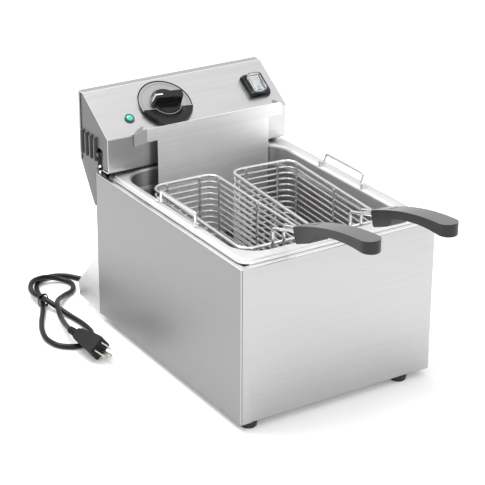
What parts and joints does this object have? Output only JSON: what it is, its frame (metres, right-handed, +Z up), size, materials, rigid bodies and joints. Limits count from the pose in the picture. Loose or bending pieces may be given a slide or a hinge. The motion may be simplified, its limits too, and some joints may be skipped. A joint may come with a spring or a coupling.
{
  "type": "countertop deep fryer",
  "caption": "Countertop electric deep fryer: boxy steel housing, lift-out oil tank, wire baskets with curved grips, and a lift-off control head with sloping panel.",
  "frame": {"origin": "on the bench, under the middle of the fryer's box measured without its mains lead", "axes": "+Z up, +Y from the basket grips towards the control head, +X to the right as seen from the front"},
  "size_m": [0.3603, 0.6522, 0.3002],
  "materials": {
    "housing_steel": "brushed",
    "inner_steel": "mill finish",
    "tank_steel": "satin",
    "head_steel": "brushed",
    "fastener_steel": "bright",
    "bright_wire": "bright",
    "element_metal": "dull",
    "sensor_metal": "dull",
    "grip_plastic": "satin",
    "black_plastic": "gloss",
    "dial_silver": "satin",
    "rocker_plastic": "gloss",
    "clear_plastic": "clear",
    "ceramic": "matte",
    "lamp_green": "gloss",
    "foot_rubber": "matte",
    "cord_rubber": "satin",
    "pin_metal": "bright"
  },
  "bodies": {
    "housing": {"front_panel": "housing_steel", "left_panel": "housing_steel", "right_panel": "housing_steel", "back_panel": "housing_steel", "base_plate": "inner_steel", "rubber_feet": "foot_rubber", "foot_screws": "fastener_steel", "rear_spacers": "housing_steel", "head_bracket": "housing_steel", "rear_rivets": "fastener_steel"},
    "tank": {"oil_tank": "tank_steel", "bail_clips": "fastener_steel"},
    "left_bail": {"left_bail": "bright_wire"},
    "right_bail": {"right_bail": "bright_wire"},
    "head": {"head_casing": "head_steel", "head_left_side": "head_steel", "head_right_side": "head_steel", "head_back_cover": "head_steel", "head_bottom_plate": "inner_steel", "cover_screws": "fastener_steel", "basket_hanger": "head_steel", "guard_plate": "head_steel", "heating_elements": "element_metal", "sensor_bulbs": "sensor_metal", "sensor_clamp": "inner_steel", "thermostat": "ceramic", "limiter": "ceramic", "terminal_block": "ceramic", "lamp_bezel": "lamp_green", "lamp_lens": "lamp_green", "dial_bezel": "black_plastic", "dial_plate": "dial_silver", "switch_frame": "black_plastic", "switch_cover": "clear_plastic", "strain_relief": "cord_rubber", "power_cord": "cord_rubber", "cord_tie": "cord_rubber", "plug_body": "cord_rubber", "plug_pins": "pin_metal"},
    "knob": {"knob": "black_plastic", "knob_shaft": "fastener_steel"},
    "rocker": {"rocker": "rocker_plastic"},
    "reset_button": {"reset_button": "black_plastic"},
    "left_basket": {"left_basket_rim": "bright_wire", "left_basket_ends": "bright_wire", "left_basket_sides": "bright_wire", "left_basket_floor": "bright_wire", "left_basket_yoke": "bright_wire", "left_basket_grip": "grip_plastic"},
    "right_basket": {"right_basket_rim": "bright_wire", "right_basket_ends": "bright_wire", "right_basket_sides": "bright_wire", "right_basket_floor": "bright_wire", "right_basket_yoke": "bright_wire", "right_basket_grip": "grip_plastic"}
  },
  "joints": [
    {"name": "tank_lift", "type": "slide", "parent": "housing", "child": "tank", "axis": [0, 0, 1], "range_m": [0, 0.2]},
    {"name": "head_lift", "type": "slide", "parent": "tank", "child": "head", "axis": [0, 0, 1], "range_m": [0, 0.2]},
    {"name": "left_basket_lift", "type": "slide", "parent": "head", "child": "left_basket", "axis": [0, 0, 1], "range_m": [0, 0.22]},
    {"name": "right_basket_lift", "type": "slide", "parent": "head", "child": "right_basket", "axis": [0, 0, 1], "range_m": [0, 0.22]},
    {"name": "left_bail_fold", "type": "hinge", "parent": "tank", "child": "left_bail", "pos_m": [-0.118, 0.04397, 0.2114], "axis": [0, 1, 0], "range_deg": [-88, 60]},
    {"name": "right_bail_fold", "type": "hinge", "parent": "tank", "child": "right_bail", "pos_m": [0.118, 0.04397, 0.2114], "axis": [0, 1, 0], "range_deg": [-78, 70]},
    {"name": "knob_turn", "type": "hinge", "parent": "head", "child": "knob", "pos_m": [-0.033, 0.21728, 0.28538], "axis": [0, -0.5577, 0.83], "range_deg": [-280, 0]},
    {"name": "rocker_tilt", "type": "hinge", "parent": "head", "child": "rocker", "pos_m": [0.102, 0.22021, 0.28012], "axis": [1, 0, 0], "range_deg": [-16, 0]},
    {"name": "reset_press", "type": "slide", "parent": "head", "child": "reset_button", "axis": [0, -1, 0], "range_m": [0, 0.0015], "stiffness_N_per_m": 600}
  ]
}
